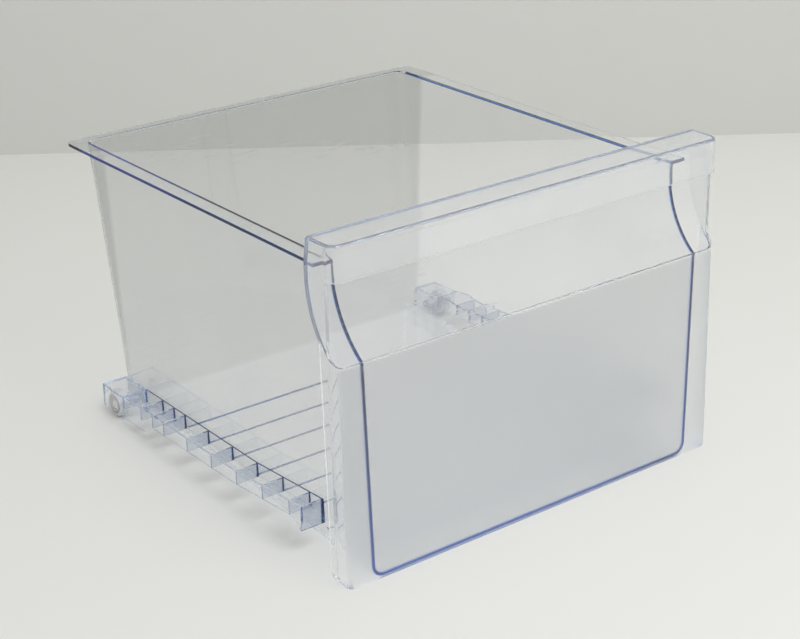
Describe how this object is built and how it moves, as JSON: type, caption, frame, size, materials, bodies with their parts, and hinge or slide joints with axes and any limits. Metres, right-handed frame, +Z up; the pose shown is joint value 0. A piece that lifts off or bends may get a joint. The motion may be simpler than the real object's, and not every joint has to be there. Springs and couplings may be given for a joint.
{
  "type": "refrigerator drawer",
  "caption": "Clear open-topped refrigerator drawer with a moulded finger-grip front, a flat rim, ladder runners low on its sides and rollers at the rear.",
  "frame": {"origin": "under the middle of the drawer's box, on the surface that its foot and rollers stand on", "axes": "+X to the right seen from the front, +Y from the front to the back, +Z up"},
  "size_m": [0.4, 0.4274, 0.2832],
  "materials": {
    "tub": "polished clear styrene, faint blue in the edges",
    "front": "polished clear styrene, etched to a fine frost below the grip",
    "runner": "polished clear styrene",
    "roller": "natural translucent acetal",
    "axle": "natural translucent acetal"
  },
  "bodies": {
    "drawer": {"tub": "tub", "front_panel": "front", "left_runner": "runner", "right_runner": "runner", "left_axle": "axle", "right_axle": "axle"},
    "left_roller": {"left_roller": "roller"},
    "right_roller": {"right_roller": "roller"}
  },
  "joints": [
    {"name": "left_roller_spin", "type": "hinge", "parent": "drawer", "child": "left_roller", "pos_m": [-0.18797, 0.14965, 0.01181], "axis": [1, 0, 0], "continuous": true},
    {"name": "right_roller_spin", "type": "hinge", "parent": "drawer", "child": "right_roller", "pos_m": [0.18797, 0.14965, 0.01181], "axis": [1, 0, 0], "continuous": true}
  ]
}
